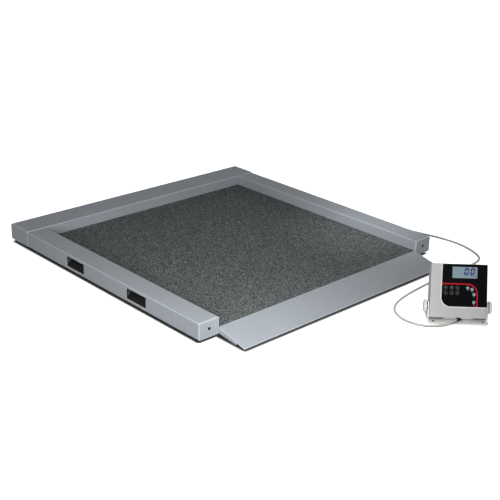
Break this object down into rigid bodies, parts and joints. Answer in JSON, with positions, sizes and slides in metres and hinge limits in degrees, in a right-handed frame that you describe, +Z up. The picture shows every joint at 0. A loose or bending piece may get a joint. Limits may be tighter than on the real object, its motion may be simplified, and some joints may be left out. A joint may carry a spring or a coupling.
{
  "type": "animal weighing scale",
  "caption": "Low floor scale for animals: a matted deck between hollow beams with an entry ramp, hand slots and wheels, and a tilting display unit on a cable.",
  "frame": {"origin": "on the floor, under the middle of the footprint of the platform and the display unit, without the cable", "axes": "+Z up, +Y from the ramp to the back beam, +X towards the beam with the wheels"},
  "size_m": [1.0485, 1.2866, 0.1436],
  "materials": {
    "painted_steel": "satin grey metallic paint",
    "mat": "speckled, ribbed rubber mat",
    "black_plastic": "fine matt",
    "case_shell": "fine-grained light grey moulding",
    "bracket_paint": "smooth white powder coat",
    "overlay_film": "glossy black film with a red line",
    "display_lens": "clear",
    "display_glass": "pale blue-grey liquid crystal display",
    "dark_key": "satin",
    "grey_key": "satin",
    "clear_knob": "frosted translucent",
    "dark_hub": "satin blue-black",
    "zinc_steel": "zinc plated",
    "cell_aluminium": "machined",
    "black_rubber": "matt",
    "circuit_board": "green solder mask",
    "battery_wrap": "shrink film",
    "cable_jacket": "smooth light grey jacket",
    "lead_jacket": "smooth jacket"
  },
  "bodies": {
    "platform": {"deck_plate": "painted_steel", "left_side_beam": "painted_steel", "right_side_beam": "painted_steel", "back_beam": "painted_steel", "front_cap_left": "painted_steel", "front_cap_right": "painted_steel", "back_cap_left": "painted_steel", "back_cap_right": "painted_steel", "ramp": "painted_steel", "deck_mat": "mat", "hand_cup_front": "black_plastic", "hand_cup_back": "black_plastic", "junction_box": "black_plastic", "junction_lid": "black_plastic", "junction_board": "circuit_board", "platform_gland": "black_plastic", "platform_cable": "cable_jacket", "lead_left": "lead_jacket", "lead_back_right": "lead_jacket", "lead_front_right": "lead_jacket", "wheel_fork_front": "zinc_steel", "wheel_fork_back": "zinc_steel", "bracket": "bracket_paint", "load_cell_front_left": "cell_aluminium", "load_cell_front_right": "cell_aluminium", "load_cell_back_left": "cell_aluminium", "load_cell_back_right": "cell_aluminium"},
    "display_case": {"case_front": "case_shell", "case_back": "case_shell", "keypad_overlay": "overlay_film", "display_window": "display_lens", "display_module": "display_glass", "main_board": "circuit_board", "battery_pack": "battery_wrap", "case_gland": "black_plastic"},
    "battery_cover": {"battery_door": "case_shell"},
    "knob_left_clamp": {"knob_left": "clear_knob", "knob_stud_left": "dark_hub"},
    "knob_right_clamp": {"knob_right": "clear_knob", "knob_stud_right": "dark_hub"},
    "wheel_front_roller": {"wheel_front": "black_rubber"},
    "wheel_back_roller": {"wheel_back": "black_rubber"},
    "foot_front_left": {"foot_stud_front_left": "zinc_steel", "foot_pad_front_left": "black_rubber"},
    "foot_front_right": {"foot_stud_front_right": "zinc_steel", "foot_pad_front_right": "black_rubber"},
    "foot_back_left": {"foot_stud_back_left": "zinc_steel", "foot_pad_back_left": "black_rubber"},
    "foot_back_right": {"foot_stud_back_right": "zinc_steel", "foot_pad_back_right": "black_rubber"},
    "key_row1_1_button": {"key_row1_1": "dark_key"},
    "key_row1_2_button": {"key_row1_2": "dark_key"},
    "key_row1_3_button": {"key_row1_3": "dark_key"},
    "key_row2_1_button": {"key_row2_1": "dark_key"},
    "key_row2_2_button": {"key_row2_2": "dark_key"},
    "key_row2_3_button": {"key_row2_3": "dark_key"},
    "key_side_1_button": {"key_side_1": "grey_key"},
    "key_side_2_button": {"key_side_2": "grey_key"},
    "key_side_3_button": {"key_side_3": "grey_key"},
    "key_side_4_button": {"key_side_4": "grey_key"}
  },
  "joints": [
    {"name": "case_tilt", "type": "hinge", "parent": "platform", "child": "display_case", "pos_m": [0.14788, -0.56325, 0.0332], "axis": [-0.7169, 0.6972, 0], "range_deg": [0, 60], "deforming": ["platform_cable"]},
    {"name": "battery_cover_off", "type": "slide", "parent": "display_case", "child": "battery_cover", "axis": [0.6464, 0.6647, -0.3746], "range_m": [0, 0.03]},
    {"name": "knob_left_turn", "type": "hinge", "parent": "display_case", "child": "knob_left_clamp", "pos_m": [0.14788, -0.56325, 0.0332], "axis": [-0.7169, 0.6972, 0], "range_deg": [0, 360]},
    {"name": "knob_right_turn", "type": "hinge", "parent": "display_case", "child": "knob_right_clamp", "pos_m": [0.14788, -0.56325, 0.0332], "axis": [0.7169, -0.6972, 0], "range_deg": [0, 360]},
    {"name": "wheel_front_spin", "type": "hinge", "parent": "platform", "child": "wheel_front_roller", "pos_m": [0.4328, -0.21766, 0.024], "axis": [0, 1, 0], "continuous": true},
    {"name": "wheel_back_spin", "type": "hinge", "parent": "platform", "child": "wheel_back_roller", "pos_m": [0.4328, 0.53134, 0.024], "axis": [0, 1, 0], "continuous": true},
    {"name": "foot_front_left_turn", "type": "hinge", "parent": "platform", "child": "foot_front_left", "pos_m": [-0.43525, -0.18516, 0], "axis": [0, 0, 1], "range_deg": [-360, 360]},
    {"name": "foot_front_right_turn", "type": "hinge", "parent": "platform", "child": "foot_front_right", "pos_m": [0.41445, -0.18516, 0], "axis": [0, 0, 1], "range_deg": [-360, 360]},
    {"name": "foot_back_left_turn", "type": "hinge", "parent": "platform", "child": "foot_back_left", "pos_m": [-0.43525, 0.49484, 0], "axis": [0, 0, 1], "range_deg": [-360, 360]},
    {"name": "foot_back_right_turn", "type": "hinge", "parent": "platform", "child": "foot_back_right", "pos_m": [0.41445, 0.49484, 0], "axis": [0, 0, 1], "range_deg": [-360, 360]},
    {"name": "key_row1_1_press", "type": "slide", "parent": "display_case", "child": "key_row1_1_button", "axis": [0.6464, 0.6647, -0.3746], "range_m": [0, 0.0005], "stiffness_N_per_m": 600},
    {"name": "key_row1_2_press", "type": "slide", "parent": "display_case", "child": "key_row1_2_button", "axis": [0.6464, 0.6647, -0.3746], "range_m": [0, 0.0005], "stiffness_N_per_m": 600},
    {"name": "key_row1_3_press", "type": "slide", "parent": "display_case", "child": "key_row1_3_button", "axis": [0.6464, 0.6647, -0.3746], "range_m": [0, 0.0005], "stiffness_N_per_m": 600},
    {"name": "key_row2_1_press", "type": "slide", "parent": "display_case", "child": "key_row2_1_button", "axis": [0.6464, 0.6647, -0.3746], "range_m": [0, 0.0005], "stiffness_N_per_m": 600},
    {"name": "key_row2_2_press", "type": "slide", "parent": "display_case", "child": "key_row2_2_button", "axis": [0.6464, 0.6647, -0.3746], "range_m": [0, 0.0005], "stiffness_N_per_m": 600},
    {"name": "key_row2_3_press", "type": "slide", "parent": "display_case", "child": "key_row2_3_button", "axis": [0.6464, 0.6647, -0.3746], "range_m": [0, 0.0005], "stiffness_N_per_m": 600},
    {"name": "key_side_1_press", "type": "slide", "parent": "display_case", "child": "key_side_1_button", "axis": [0.6464, 0.6647, -0.3746], "range_m": [0, 0.0005], "stiffness_N_per_m": 600},
    {"name": "key_side_2_press", "type": "slide", "parent": "display_case", "child": "key_side_2_button", "axis": [0.6464, 0.6647, -0.3746], "range_m": [0, 0.0005], "stiffness_N_per_m": 600},
    {"name": "key_side_3_press", "type": "slide", "parent": "display_case", "child": "key_side_3_button", "axis": [0.6464, 0.6647, -0.3746], "range_m": [0, 0.0005], "stiffness_N_per_m": 600},
    {"name": "key_side_4_press", "type": "slide", "parent": "display_case", "child": "key_side_4_button", "axis": [0.6464, 0.6647, -0.3746], "range_m": [0, 0.0005], "stiffness_N_per_m": 600}
  ]
}
